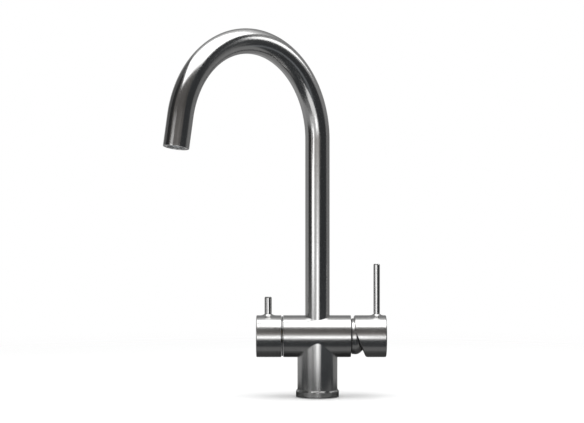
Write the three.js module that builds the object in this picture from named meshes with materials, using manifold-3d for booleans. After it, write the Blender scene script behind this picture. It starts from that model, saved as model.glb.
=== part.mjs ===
// Three way filtered water tap: a deck column with a cross barrel, a mixer lever on the right,
// a quarter-turn filtered water knob on the left, and a tall swan-neck spout that swivels.
// Millimetres, +Z up. The origin is the centre of the underside, on the worktop; the barrel lies
// along X with the mixer lever at +X, and the user stands at -Y.
import * as THREE from 'three';
import { mergeVertices } from 'three/addons/utils/BufferGeometryUtils.js';
import Module from 'manifold-3d';

const wasm = await Module();
wasm.setup();

// ---- Driving dimensions -------------------------------------------------------------------

const GAP = 0.3; // running and seating clearance between neighbouring pieces
const EDGE = 0.8; // turned edge round of the barrel and caps
const ROUND_SIDES = 36; // facets round the barrel, column and caps
const PIPE_SIDES = 24; // facets round the spout
const PIECE_SIDES = 16; // facets round the inner pieces

const COLUMN_R = 23;
const BARREL_R = 24;
const BARREL_HALF = 39.3;
const BARREL_Z = 70;

const BASE_RING_R = 24.7;
const BASE_RING_H = 9;
const BASE_RING_CHAMFER = 1.7;
const GASKET_R = 20;
const GASKET_W = 2.4;
const GASKET_SIDES = 24;

const PORT_CIRCLE_R = 11.5; // hose ports and stud hole, all on this circle
const PORT_R = 5;
const PORT_DEPTH = 17;
const STUD_R = 3.4;
const STUD_DEPTH = 22;
const BEND_Z = 50; // height at which the rising waterways bend to their valves
const WATERWAY_R = 2.4;

const SOCKET_FLOOR_Z = 63.5; // floor of the spout socket in the barrel
const TUBE_SEAT_DEPTH = 2.2; // counterbore for the filtered water tube's seal
const TUBE_SEAT_R = 5.4;
const RETAINER_Z = 77.5; // groove that the spout's retaining screw runs in
const RETAINER_R = 2.3;
const FOOT_FROM_Z = 69;
const FOOT_TO_Z = 93;
const FOOT_R = 13.95;
const FOOT_BORE_R = 9;
const SEAL_GROOVE_R = 12;
const SEAL_THICKNESS = 1.9;
const LOWER_SEAL_Z = 71.9;
const UPPER_SEAL_Z = 83;

const SPOUT_R = 14;
const SPOUT_WALL = 1.5;
const SPOUT_FOOT_Z = 86.3;
const SPOUT_ARC_R = 105.2;
const SPOUT_ARC_Z = 296.3;
const SPOUT_ARC_STEPS = 22;
const SPOUT_TAIL_DEG = 10.2; // lean of the outlet away from the column
const SPOUT_TAIL_LENGTH = 34.5;
const SPOUT_SWIVEL_DEG = -135; // swung half way between left and front
const INNER_TUBE_R = 3;
const INNER_TUBE_BORE_R = 2;
const NOZZLE_R = 4.2;
const NOZZLE_BORE_R = 2.6;
const NOZZLE_SEAT_Z = 6; // the tube stops here, above the outlet's face
const AERATOR_LIP_R = 9.6;

const KNOB_FACE_X = 41.6; // inner face of the filter knob, from the column's axis
const KNOB_END_X = 70.2;
const KNOB_PIN_X = 56.7;
const KNOB_PIN_R = 4.15;
const KNOB_PIN_TOP = 45.2; // above the barrel's axis
const KNOB_GRUB_X = 54;
const KNOB_GRUB_R = 2;
const SPACER_R = 23.1;

const HANDLE_FACE_X = 42.5; // inner face of the mixer handle cap
const HANDLE_END_X = 78.85;
const HANDLE_PIN_X = 68.1;
const HANDLE_PIN_R = 3.7;
const HANDLE_PIN_TOP = 83.1; // above the barrel's axis
const HANDLE_CUT_Z = 7.7; // where the slanted cut starts on the inner face
const HANDLE_CUT_DEG = 23.1;
const HANDLE_BORE_R = 21.8;
const HANDLE_BORE_END_X = 62;
const HANDLE_GRUB_X = 67;
const HANDLE_GRUB_R = 2.5;

const COLLAR_H = 2.3; // soft collar at a pin's foot, above the crown of the cap
const COLLAR_SPREAD = 5;
const SPIGOT_R = 2.9; // threaded end of a pin
const SPIGOT_LENGTH = 10;

const DOME_X = 43.5; // centre of the dome, and of the lever's pivot inside it
const DOME_R = 20.1;
const DOME_DEPTH = 12.9;
const DOME_WALL = 1.2;
const DOME_MOUTH_R = 12;
const DOME_THREAD_R = 17;

const MIXER_SOCKET_R = 20; // thread of the cartridge nut
const CARTRIDGE_SEAT_X = 18;
const CARTRIDGE_R = 17.3;
const CARTRIDGE_SHOULDER_X = 31.5;
const CARTRIDGE_NECK_R = 13.6;
const CARTRIDGE_NECK_END_X = 47.3;
const CARTRIDGE_PORT_R = 2.6;
const CARTRIDGE_PORT_CIRCLE_R = 8.6;
const SEAL_WEB = 2; // width of the web that joins the inlet seal's rings
const SEAL_WALL = 1.3;
const FIXED_DISC_X = 23; // lower face of the fixed ceramic disc
const MOVING_DISC_X = 26.7;
const COUPLER_X = 29.9;
const CARRIER_X = 35;
const CARRIER_R = 11.1;
const CARRIER_LIP_R = 9.25;
const CARTRIDGE_LIP_X = 46; // the housing's lip holds the carrier in
const PIVOT_R = 1.5;
const LEVER_SIDE = 8; // square lever stem
const LEVER_BALL_X = 33.2;
const LEVER_BALL_R = 2.6;
const DISC_REST_Z = -2.2; // the moving disc sits this far off centre when the water is shut

const HEADWORK_SEAT_X = 20;
const HEADWORK_R = 9.3;
const HEADWORK_NECK_END = 44;
const HEADWORK_SOCKET_R = 17;
const HEADWORK_SOCKET_X = 31;
const HEADWORK_DISC_R = 7.3;
const SPINDLE_R = 4.9;
const SPINDLE_SEAL_X = 40;
const SPLINE_R = 4.2;

// ---- Working shapes -----------------------------------------------------------------------

// A closed body with shared corners, no flat triangles, and its faces pointing out.
function closed(geometry) {
  const bare = geometry.clone();
  bare.deleteAttribute('normal');
  bare.deleteAttribute('uv');
  const merged = mergeVertices(bare);
  const corners = merged.attributes.position.array;
  const faces = merged.index.array;
  const kept = [];
  let volume = 0;
  for (let i = 0; i < faces.length; i += 3) {
    const [a, b, c] = [faces[i], faces[i + 1], faces[i + 2]];
    if (a === b || b === c || c === a) continue;
    kept.push(a, b, c);
    const [p, q, r] = [a, b, c].map((n) => new THREE.Vector3().fromArray(corners, 3 * n));
    volume += p.dot(q.cross(r));
  }
  merged.setIndex(volume < 0 ? kept.reverse() : kept);
  return merged;
}

function solid(geometry) {
  const body = closed(geometry);
  return new wasm.Manifold(new wasm.Mesh({
    numProp: 3,
    vertProperties: new Float32Array(body.attributes.position.array),
    triVerts: new Uint32Array(body.index.array),
  }));
}

function surface(manifold) {
  const { vertProperties, triVerts } = manifold.getMesh();
  const geometry = new THREE.BufferGeometry();
  geometry.setAttribute('position', new THREE.BufferAttribute(new Float32Array(vertProperties), 3));
  geometry.setIndex(new THREE.BufferAttribute(new Uint32Array(triVerts), 1));
  return geometry;
}

function cut(geometry, ...cutters) {
  return surface(cutters.reduce((left, cutter) => left.subtract(solid(cutter)), solid(geometry)));
}

function join(...pieces) {
  return surface(pieces.map(solid).reduce((whole, piece) => whole.add(piece)));
}

// Turns a profile of [along, radius] pairs round the Z axis.
function turnedZ(profile, sides = PIECE_SIDES) {
  const points = profile.map(([along, radius]) => new THREE.Vector2(radius, along));
  return closed(new THREE.LatheGeometry(points, sides).rotateX(Math.PI / 2));
}

// The same, round the X axis.
function turnedX(profile, sides = PIECE_SIDES) {
  return turnedZ(profile, sides).rotateY(Math.PI / 2);
}

// The same, round the -X axis, for the pieces of the filter side.
function turnedLeft(profile, sides = PIECE_SIDES) {
  return turnedZ(profile, sides).rotateY(-Math.PI / 2);
}

function rod(from, to, radius) {
  return [[from, 0], [from, radius], [to, radius], [to, 0]];
}

function ring(from, to, inner, outer) {
  return [[from, inner], [from, outer], [to, outer], [to, inner], [from, inner]];
}

// A rod with rounded edges at the ends that are asked for.
function turnedBar(from, to, radius, roundFrom, roundTo) {
  return [
    [from, 0],
    ...(roundFrom ? arc(from + roundFrom, radius - roundFrom, roundFrom, 180, 90) : [[from, radius]]),
    ...(roundTo ? arc(to - roundTo, radius - roundTo, roundTo, 90, 0) : [[to, radius]]),
    [to, 0],
  ];
}

// Points on an arc in profile coordinates; 0 degrees points along, 90 degrees points outwards.
function arc(along, radius, size, fromDeg, toDeg, steps = 2) {
  return Array.from({ length: steps + 1 }, (_, i) => {
    const angle = THREE.MathUtils.degToRad(fromDeg + ((toDeg - fromDeg) * i) / steps);
    return [along + size * Math.cos(angle), radius + size * Math.sin(angle)];
  });
}

// A drilled hole between two points, and a little past the first.
function drill(from, to, radius, sides = 10) {
  const start = new THREE.Vector3(...from);
  const way = new THREE.Vector3(...to).sub(start);
  const bit = new THREE.CylinderGeometry(radius, radius, way.length(), sides);
  bit.applyQuaternion(new THREE.Quaternion().setFromUnitVectors(
    new THREE.Vector3(0, 1, 0),
    way.clone().normalize(),
  ));
  return bit.translate(...start.addScaledVector(way, 0.5).toArray());
}

function sealRing(along, radius, thickness) {
  return arc(along, radius, thickness / 2, 0, 360, 6);
}

function roundOutline(radius, sides = PIECE_SIDES) {
  const outline = new THREE.Shape();
  outline.setFromPoints(Array.from({ length: sides }, (_, i) => {
    const angle = (2 * Math.PI * i) / sides;
    return new THREE.Vector2(radius * Math.cos(angle), radius * Math.sin(angle));
  }));
  return outline;
}

function roundHole(x, y, radius, sides) {
  const hole = new THREE.Path();
  hole.setFromPoints(Array.from({ length: sides }, (_, i) => {
    const angle = (-2 * Math.PI * i) / sides;
    return new THREE.Vector2(x + radius * Math.cos(angle), y + radius * Math.sin(angle));
  }));
  return hole;
}

function plate(outline, thickness) {
  return closed(new THREE.ExtrudeGeometry(outline, { depth: thickness, bevelEnabled: false }));
}

// ---- Finishes -----------------------------------------------------------------------------

const FINISHES = {
  brushedSteel: { color: 0x9a9b9c, roughness: 0.28, metalness: 1 },
  polishedSteel: { color: 0xb4b5b6, roughness: 0.12, metalness: 1 },
  brass: { color: 0xb08d4a, roughness: 0.35, metalness: 1 },
  ceramic: { color: 0xe9e6de, roughness: 0.25, metalness: 0 },
  engineeringPlastic: { color: 0xd9d9d6, roughness: 0.5, metalness: 0 },
  aeratorPlastic: { color: 0x8b8f91, roughness: 0.4, metalness: 0 },
  siliconeTube: { color: 0xe4e7e8, roughness: 0.4, metalness: 0 },
  sealRubber: { color: 0x1b1b1c, roughness: 0.7, metalness: 0 },
};

function piece(name, geometry, finish) {
  const mesh = new THREE.Mesh(closed(geometry), new THREE.MeshStandardMaterial(FINISHES[finish]));
  mesh.name = name;
  return mesh;
}

// ---- Base ---------------------------------------------------------------------------------

function baseRing() {
  const bore = COLUMN_R + GAP;
  return turnedZ([
    [0, bore],
    [0, BASE_RING_R - 0.4],
    [0.4, BASE_RING_R],
    [BASE_RING_H - BASE_RING_CHAMFER, BASE_RING_R],
    [BASE_RING_H, BASE_RING_R - 1.1],
    [BASE_RING_H, bore],
    [0, bore],
  ], ROUND_SIDES);
}

function baseGasket() {
  return turnedZ(ring(0, 2.2, GASKET_R - GASKET_W / 2, GASKET_R + GASKET_W / 2), GASKET_SIDES);
}

// ---- Tap body: column and barrel in one casting, with its sockets and waterways ----------------

// Hose ports and stud hole stand at the four corners of a square round the column's axis.
function portPlace(quarter) {
  const angle = (Math.PI / 4) * (2 * quarter + 1);
  return [PORT_CIRCLE_R * Math.cos(angle), PORT_CIRCLE_R * Math.sin(angle)];
}

function onAxis(geometry) {
  return geometry.translate(0, 0, BARREL_Z);
}

// The bore that the spout turns in, its screw from behind, and the seat of the inner tube.
function spoutSocket() {
  const seatFloor = SOCKET_FLOOR_Z - TUBE_SEAT_DEPTH;
  return [
    turnedZ(rod(SOCKET_FLOOR_Z, BARREL_Z + BARREL_R + 1, SPOUT_R + GAP), PIPE_SIDES),
    turnedZ(rod(seatFloor, SOCKET_FLOOR_Z + 1, TUBE_SEAT_R)),
    turnedZ(rod(seatFloor - 5, SOCKET_FLOOR_Z, INNER_TUBE_R + GAP)),
    drill([0, SPOUT_R - 1, RETAINER_Z], [0, BARREL_R + 2, RETAINER_Z], RETAINER_R + GAP),
  ];
}

// Right: the cartridge's seat and the nut's thread. Left: the headwork's thread and a recess.
function valveSockets() {
  const end = BARREL_HALF + 1;
  const seatEnd = CARTRIDGE_SHOULDER_X + 1;
  return [
    turnedX(rod(CARTRIDGE_SEAT_X, seatEnd, CARTRIDGE_R + GAP), 24),
    turnedX(rod(seatEnd - 0.9, end, MIXER_SOCKET_R), 24),
    turnedLeft(rod(HEADWORK_SEAT_X, HEADWORK_SOCKET_X + 1, HEADWORK_R + GAP)),
    turnedLeft(rod(HEADWORK_SOCKET_X, end, HEADWORK_SOCKET_R), 24),
  ].map(onAxis);
}

// Hot rises on the right and behind, cold on the right and in front, filtered on the left in front.
function undersideHoles() {
  const [hot, stud, filtered, cold] = [0, 1, 2, 3].map(portPlace);
  const groove = ring(-1, 2.5, GASKET_R - 1.5, GASKET_R + 1.5);
  return [
    turnedZ(groove, GASKET_SIDES),
    ...[hot, cold, filtered].map((port) => drill([...port, -1], [...port, PORT_DEPTH], PORT_R, 12)),
    drill([...stud, -1], [...stud, STUD_DEPTH], STUD_R),
  ];
}

// Each waterway rises from its port and bends over to its valve.
function waterways() {
  const [hot, , filtered, cold] = [0, 1, 2, 3].map(portPlace);
  const valveY = CARTRIDGE_PORT_CIRCLE_R * Math.cos(Math.PI / 6);
  const valveZ = BARREL_Z - CARTRIDGE_PORT_CIRCLE_R / 2;
  const mixedZ = SOCKET_FLOOR_Z + 3;
  const rise = (port, valve, riserR) => [
    drill([...port, PORT_DEPTH - 1], [...port, BEND_Z], riserR),
    drill([...port, BEND_Z - 1], valve, WATERWAY_R),
  ];
  return [
    ...rise(hot, [CARTRIDGE_SEAT_X + 1, valveY, valveZ], 3),
    ...rise(cold, [CARTRIDGE_SEAT_X + 1, -valveY, valveZ], 3),
    ...rise(filtered, [-HEADWORK_SEAT_X - 1, -1, BARREL_Z - 4], 2.6),
    // mixed water: down a channel in the cartridge's seat and into the spout socket
    new THREE.BoxGeometry(2.6, 5.4, 17).translate(CARTRIDGE_SEAT_X - 0.3, 0, BARREL_Z + 3.5),
    drill([CARTRIDGE_SEAT_X, 0, mixedZ], [10, 0, mixedZ], WATERWAY_R),
    // filtered water: from the headwork's windows to the seat of the inner tube
    drill([-HEADWORK_SEAT_X - 5, 4, BARREL_Z - 9], [0, 0, SOCKET_FLOOR_Z - 5], WATERWAY_R - 0.2),
  ];
}

function tapBody() {
  const column = turnedZ(rod(0, BARREL_Z, COLUMN_R), ROUND_SIDES);
  const barrel = turnedX(turnedBar(-BARREL_HALF, BARREL_HALF, BARREL_R, EDGE, EDGE), ROUND_SIDES);
  return cut(
    join(column, onAxis(barrel)),
    ...spoutSocket(),
    ...valveSockets(),
    ...undersideHoles(),
    ...waterways(),
  );
}

// ---- Spout --------------------------------------------------------------------------------

// The spout's centre line: up the leg, over the arc, and out along the leaning tail. Its stations
// are close together on the arc only, because the straight runs need none in between.
class SpoutLine extends THREE.Curve {
  constructor(footZ, arcSteps, tailLength) {
    super();
    this.footZ = footZ;
    this.arcSteps = arcSteps;
    this.tailLength = tailLength;
    this.steps = arcSteps + 2;
  }

  getUtoTmapping(u) {
    return u;
  }

  getPoint(t, target = new THREE.Vector3()) {
    const station = t * this.steps;
    const sweep = THREE.MathUtils.degToRad(180 - SPOUT_TAIL_DEG);
    if (station <= 1) {
      return target.set(0, 0, THREE.MathUtils.lerp(this.footZ, SPOUT_ARC_Z, station));
    }
    const along = Math.min(1, (station - 1) / this.arcSteps) * sweep;
    target.set(SPOUT_ARC_R * (1 - Math.cos(along)), 0, SPOUT_ARC_Z + SPOUT_ARC_R * Math.sin(along));
    const past = Math.max(0, station - 1 - this.arcSteps) * this.tailLength;
    return target.add(new THREE.Vector3(Math.sin(along), 0, Math.cos(along)).multiplyScalar(past));
  }

  getTangent(t, target = new THREE.Vector3()) {
    const along = THREE.MathUtils.clamp((t * this.steps - 1) / this.arcSteps, 0, 1);
    const angle = along * THREE.MathUtils.degToRad(180 - SPOUT_TAIL_DEG);
    return target.set(Math.sin(angle), 0, Math.cos(angle));
  }
}

function pipeAlong(line, outer, inner, sides) {
  const outline = roundOutline(outer, sides);
  outline.holes.push(roundHole(0, 0, inner, (2 * sides) / 3));
  return new THREE.ExtrudeGeometry(outline, { steps: line.steps, extrudePath: line });
}

function spoutTube() {
  const line = new SpoutLine(SPOUT_FOOT_Z, SPOUT_ARC_STEPS, SPOUT_TAIL_LENGTH);
  return pipeAlong(line, SPOUT_R, SPOUT_R - SPOUT_WALL, PIPE_SIDES);
}

function filteredWaterTube() {
  const line = new SpoutLine(SOCKET_FLOOR_Z - 2, 12, SPOUT_TAIL_LENGTH - NOZZLE_SEAT_Z - GAP);
  return pipeAlong(line, INNER_TUBE_R, INNER_TUBE_BORE_R, 9);
}

// The brazed foot of the spout, with its seal grooves and the groove of the retaining screw.
function spoutSwivelFoot() {
  const groove = (middle, half, depthR) => [
    [middle - half, FOOT_R],
    [middle - half, depthR],
    [middle + half, depthR],
    [middle + half, FOOT_R],
  ];
  const shoulder = SPOUT_FOOT_Z - GAP;
  const spigot = SPOUT_R - SPOUT_WALL - 2 * GAP;
  return turnedZ([
    [FOOT_FROM_Z, FOOT_BORE_R],
    [FOOT_FROM_Z, FOOT_R],
    ...groove(LOWER_SEAL_Z, 1.3, SEAL_GROOVE_R),
    ...groove(RETAINER_Z, RETAINER_R + GAP, SEAL_GROOVE_R - 0.2),
    ...groove(UPPER_SEAL_Z, 1.3, SEAL_GROOVE_R),
    [shoulder, FOOT_R],
    [shoulder, spigot],
    [FOOT_TO_Z, spigot],
    [FOOT_TO_Z, FOOT_BORE_R],
    [FOOT_FROM_Z, FOOT_BORE_R],
  ], 18);
}

function spoutSeal(height) {
  return turnedZ(sealRing(height, SEAL_GROOVE_R + 1.1, SEAL_THICKNESS), 18);
}

// ---- Outlet: measured from the spout's end face, up into the spout -----------------------------

function aeratorHousing() {
  const outer = SPOUT_R - SPOUT_WALL - 0.4;
  const face = 0.4;
  const lipTop = 1.7;
  const end = 11;
  const bore = AERATOR_LIP_R + 1;
  return turnedZ([
    [face, AERATOR_LIP_R],
    [face, outer - 0.4],
    [face + 0.4, outer],
    [end, outer],
    [end, bore],
    [lipTop, bore],
    [lipTop, AERATOR_LIP_R],
    [face, AERATOR_LIP_R],
  ], 20);
}

// Flow straightener: two rings of holes round the filtered water nozzle.
function aeratorScreen() {
  const disc = roundOutline(AERATOR_LIP_R + 0.7);
  const holeR = 0.95;
  disc.holes.push(roundHole(0, 0, NOZZLE_R + GAP, 20));
  for (const [circle, count, turn] of [[6.1, 8, 0], [8.5, 11, 0.5]]) {
    for (let i = 0; i < count; i += 1) {
      const angle = (2 * Math.PI * (i + turn)) / count;
      disc.holes.push(roundHole(circle * Math.cos(angle), circle * Math.sin(angle), holeR, 6));
    }
  }
  return plate(disc, 3.2).translate(0, 0, 2);
}

function filterNozzle() {
  const face = 0.7;
  const end = 12;
  return turnedZ([
    [face, NOZZLE_BORE_R],
    [face, NOZZLE_R - 0.4],
    [face + 0.4, NOZZLE_R],
    [end, NOZZLE_R],
    [end, INNER_TUBE_R + GAP],
    [NOZZLE_SEAT_Z, INNER_TUBE_R + GAP],
    [NOZZLE_SEAT_Z, NOZZLE_BORE_R],
    [face, NOZZLE_BORE_R],
  ], 18);
}

// ---- Pins and caps ------------------------------------------------------------------------

// The soft collar at a pin's foot: a concave fillet turned round the pin, then bent down over
// the cap so that it keeps the same height above the cap's round side all the way round.
function pinCollar(pinR) {
  const neck = pinR + 0.5;
  const foot = neck + COLLAR_SPREAD;
  const sunk = -0.15; // the fillet's edge runs out just under the surface
  const root = -2.5;
  const fillet = Array.from({ length: 5 }, (_, i) => {
    const angle = (Math.PI / 2) * (i / 4);
    return [
      sunk + (COLLAR_H - 0.4 - sunk) * (1 - Math.cos(angle)),
      foot - COLLAR_SPREAD * Math.sin(angle),
    ];
  });
  const collar = turnedZ([
    [root, 0],
    [root, foot],
    ...fillet,
    [COLLAR_H, neck - 0.3],
    [COLLAR_H, 0],
  ], 18);
  const places = collar.attributes.position;
  for (let i = 0; i < places.count; i += 1) {
    const y = places.getY(i);
    places.setZ(i, places.getZ(i) + Math.sqrt(BARREL_R ** 2 - y ** 2));
  }
  return collar;
}

// A lever pin with a small chamfer on top and a threaded spigot that screws into its cap.
function leverPin(radius, top) {
  const foot = BARREL_R + COLLAR_H + GAP;
  const root = BARREL_R - SPIGOT_LENGTH;
  return turnedZ([
    [root, 0],
    [root, SPIGOT_R],
    [foot, SPIGOT_R],
    [foot, radius],
    [top - 0.5, radius],
    [top, radius - 0.5],
    [top, 0],
  ], 20);
}

function pinHole(x) {
  const floor = BARREL_R - SPIGOT_LENGTH - GAP;
  return drill([x, 0, floor], [x, 0, BARREL_R + COLLAR_H + 1], SPIGOT_R + GAP, 14);
}

// A short screw with a hexagon socket, its tip at the origin and its socket towards -Z.
function grubScrew(radius, length) {
  const socket = new THREE.CylinderGeometry(radius * 0.5, radius * 0.5, length, 6)
    .rotateX(Math.PI / 2)
    .translate(0, 0, -length);
  return cut(turnedZ([
    [-length, 0],
    [-length, radius - 0.3],
    [-length + 0.3, radius],
    [-0.8, radius],
    [0, radius - 0.8],
    [0, 0],
  ], 12), socket);
}

// The slanted cut: under a line that falls outwards from the inner face, and below its start.
function slantedCut() {
  const tall = 80;
  const block = new THREE.BoxGeometry(60, 3 * BARREL_R, tall);
  const slant = block.clone()
    .translate(-30, 0, 10 - tall / 2)
    .rotateY(-THREE.MathUtils.degToRad(HANDLE_CUT_DEG))
    .translate(HANDLE_FACE_X, 0, HANDLE_CUT_Z);
  const above = block.clone().translate(HANDLE_FACE_X, 0, HANDLE_CUT_Z + tall / 2);
  return cut(slant, above);
}

// A hole from underneath for a cap's grub screw.
function grubScrewHole(x, radius) {
  return drill([x, 0, -BARREL_R - 1], [x, 0, -3.5], radius + GAP, 12);
}

function handleCap() {
  const shell = turnedX([
    [HANDLE_FACE_X, 0],
    ...arc(HANDLE_FACE_X + 0.4, BARREL_R - 0.4, 0.4, 180, 90, 2),
    ...arc(HANDLE_END_X - EDGE, BARREL_R - EDGE, EDGE, 90, 0),
    [HANDLE_END_X, 0],
  ], ROUND_SIDES);
  const socketSide = LEVER_SIDE + 2 * GAP;
  const socketLength = 9.2;
  return cut(
    join(shell, pinCollar(HANDLE_PIN_R).translate(HANDLE_PIN_X, 0, 0)),
    slantedCut(),
    turnedX([
      [HANDLE_FACE_X - 1, 0],
      [HANDLE_FACE_X - 1, HANDLE_BORE_R],
      [HANDLE_BORE_END_X - 2, HANDLE_BORE_R],
      [HANDLE_BORE_END_X, HANDLE_BORE_R - 2],
      [HANDLE_BORE_END_X, 0],
    ], 32),
    new THREE.BoxGeometry(socketLength + 1, socketSide, socketSide)
      .translate(HANDLE_BORE_END_X + socketLength / 2 - 0.5, 0, 0),
    pinHole(HANDLE_PIN_X),
    grubScrewHole(HANDLE_GRUB_X, HANDLE_GRUB_R),
  );
}

function filterKnobCap() {
  const recessR = 19.5;
  const floor = KNOB_FACE_X + 8;
  return cut(
    join(
      turnedX(turnedBar(-KNOB_END_X, -KNOB_FACE_X, BARREL_R, EDGE, 0.4), ROUND_SIDES),
      pinCollar(KNOB_PIN_R).translate(-KNOB_PIN_X, 0, 0),
    ),
    turnedLeft([
      [KNOB_FACE_X - 1, 0],
      [KNOB_FACE_X - 1, recessR],
      [floor - 3, recessR],
      [floor, recessR - 3.5],
      [floor, 0],
    ], 24),
    turnedLeft(rod(floor - 1, floor + 10.4, SPLINE_R + GAP), 20),
    pinHole(-KNOB_PIN_X),
    grubScrewHole(-KNOB_GRUB_X, KNOB_GRUB_R),
  );
}

// ---- Mixer cartridge ----------------------------------------------------------------------

// Three ports at equal turns, as seen along the barrel: hot and cold low, mixed on top.
function cartridgePortPlaces() {
  return [30, 150, 270].map((deg) => {
    const angle = THREE.MathUtils.degToRad(deg);
    return [CARTRIDGE_PORT_CIRCLE_R * Math.sin(angle), CARTRIDGE_PORT_CIRCLE_R * Math.cos(angle)];
  });
}

// A disc across the barrel's axis with the three ports through it.
function portedDisc(radius, from, to, portR) {
  const outline = roundOutline(radius, 24);
  outline.holes.push(...cartridgePortPlaces().map(([x, y]) => roundHole(x, y, portR, 10)));
  return plate(outline, to - from).rotateY(Math.PI / 2).translate(from, 0, 0);
}

function cartridgeBase() {
  const seat = CARTRIDGE_SEAT_X + 0.4;
  const half = SEAL_WEB / 2 + GAP;
  const web = ring(seat - 1, seat + 1.5, CARTRIDGE_PORT_CIRCLE_R - half, CARTRIDGE_PORT_CIRCLE_R + half);
  return cut(
    portedDisc(CARTRIDGE_R, seat, seat + 4.2, CARTRIDGE_PORT_R + SEAL_WALL + GAP),
    turnedX(web, 20),
  );
}

// One moulded seal: a ring in each port of the base, joined by a thin web.
function cartridgeInletSeal() {
  const seat = CARTRIDGE_SEAT_X + GAP;
  const half = SEAL_WEB / 2;
  const web = ring(seat, seat + 1.2, CARTRIDGE_PORT_CIRCLE_R - half, CARTRIDGE_PORT_CIRCLE_R + half);
  const places = cartridgePortPlaces().map(([x, y]) => [y, -x]);
  const along = (from, to, radius) => places.map(([y, z]) => drill([from, y, z], [to, y, z], radius, 8));
  return cut(
    join(turnedX(web, 20), ...along(seat, seat + 4.2, CARTRIDGE_PORT_R + SEAL_WALL)),
    ...along(seat - 1, seat + 5, CARTRIDGE_PORT_R),
  );
}

function cartridgeFixedDisc() {
  return portedDisc(14.6, FIXED_DISC_X, MOVING_DISC_X - GAP, CARTRIDGE_PORT_R);
}

// The upper disc: its blind pocket joins the ports below as it slides and turns.
function cartridgeMovingDisc() {
  return cut(
    turnedX(rod(MOVING_DISC_X, COUPLER_X - GAP, 10.2), 24),
    turnedX(rod(MOVING_DISC_X - 1, MOVING_DISC_X + 1.6, 6), 20),
  );
}

// Slides with the moving disc; its pocket takes the lever's ball.
function discCoupler() {
  return cut(
    turnedX(rod(COUPLER_X, CARRIER_X - 0.4, 8.5), 24),
    turnedX(rod(COUPLER_X + 0.4, CARRIER_X, LEVER_BALL_R + GAP), 16).translate(0, 0, -DISC_REST_Z),
  );
}

function cartridgeHousing() {
  const start = FIXED_DISC_X - 0.1;
  const mouth = CARRIER_LIP_R + 0.35;
  const bore = CARRIER_R + GAP;
  const discRoom = 15.4;
  return turnedX([
    [start, discRoom],
    [start, CARTRIDGE_R],
    [CARTRIDGE_SHOULDER_X, CARTRIDGE_R],
    [CARTRIDGE_SHOULDER_X, CARTRIDGE_NECK_R],
    [CARTRIDGE_NECK_END_X, CARTRIDGE_NECK_R],
    [CARTRIDGE_NECK_END_X, mouth],
    [CARTRIDGE_LIP_X, mouth],
    [CARTRIDGE_LIP_X, bore],
    [COUPLER_X, bore],
    [COUPLER_X, discRoom],
    [start, discRoom],
  ], 20);
}

// Turns with the handle for temperature, and carries the lever's pivot pin across its slot.
function spindleCarrier() {
  return cut(
    turnedX([
      [CARRIER_X, 0],
      [CARRIER_X, CARRIER_R],
      [CARTRIDGE_LIP_X - GAP, CARRIER_R],
      [CARTRIDGE_LIP_X - GAP, CARRIER_LIP_R],
      [CARTRIDGE_NECK_END_X + 1.2, CARRIER_LIP_R],
      [CARTRIDGE_NECK_END_X + 1.2, 0],
    ], 20),
    new THREE.BoxGeometry(30, LEVER_SIDE + 2 * GAP, 14.3).translate(DOME_X, 0, 0.25),
    drill([DOME_X, -13, 0], [DOME_X, 13, 0], PIVOT_R + GAP),
  );
}

function leverPivotPin() {
  const half = CARRIER_R - 0.7;
  return drill([DOME_X, -half, 0], [DOME_X, half, 0], PIVOT_R);
}

// Square stem for the handle, an eye on the pivot, and a ball finger that pushes the disc.
function leverStem() {
  const eyeFrom = DOME_X - 3.7;
  const end = HANDLE_BORE_END_X + 8.6;
  const fingerR = 1.9;
  return cut(
    join(
      new THREE.BoxGeometry(end - eyeFrom, LEVER_SIDE, LEVER_SIDE)
        .translate((end + eyeFrom) / 2, 0, 0),
      turnedX(rod(LEVER_BALL_X, eyeFrom + 1, fingerR), 12),
      new THREE.SphereGeometry(LEVER_BALL_R, 12, 8).translate(LEVER_BALL_X, 0, 0),
    ),
    drill([DOME_X, -6, 0], [DOME_X, 6, 0], PIVOT_R + GAP),
  );
}

// Clamps the cartridge by its shoulder, and carries the dome on its outer thread.
function cartridgeNut() {
  const inner = CARTRIDGE_NECK_R + GAP;
  const outer = MIXER_SOCKET_R - GAP;
  const from = CARTRIDGE_SHOULDER_X + GAP;
  return turnedX([
    [from, inner],
    [from, outer],
    [BARREL_HALF - GAP, outer],
    [BARREL_HALF - GAP, DOME_THREAD_R],
    [DOME_X, DOME_THREAD_R],
    [DOME_X, inner],
    [from, inner],
  ], 24);
}

// The dome behind the handle: an ellipse turned round the barrel's axis, open for the lever.
function domeCover() {
  const foot = BARREL_HALF + GAP;
  const mouth = Math.acos(DOME_MOUTH_R / DOME_R);
  const first = -Math.asin((DOME_X - foot) / DOME_DEPTH);
  const outside = Array.from({ length: 7 }, (_, i) => {
    const angle = first + ((mouth - first) * i) / 6;
    return [DOME_X + DOME_DEPTH * Math.sin(angle), DOME_R * Math.cos(angle)];
  });
  const depth = DOME_DEPTH - DOME_WALL;
  const radius = DOME_R - DOME_WALL;
  const innerMouth = Math.acos(DOME_MOUTH_R / radius);
  const inside = Array.from({ length: 4 }, (_, i) => {
    const angle = 0.06 + (innerMouth - 0.06) * (1 - i / 3);
    return [DOME_X + depth * Math.sin(angle), radius * Math.cos(angle)];
  });
  return turnedX([
    [foot, DOME_THREAD_R + GAP],
    ...outside,
    ...inside,
    [DOME_X + 0.5, DOME_THREAD_R + GAP],
    [foot, DOME_THREAD_R + GAP],
  ], 28);
}

// ---- Filtered water headwork --------------------------------------------------------------

function headworkSeatSeal() {
  return turnedLeft(ring(HEADWORK_SEAT_X + GAP, HEADWORK_SEAT_X + 2, 4.4, 8.6));
}

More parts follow.
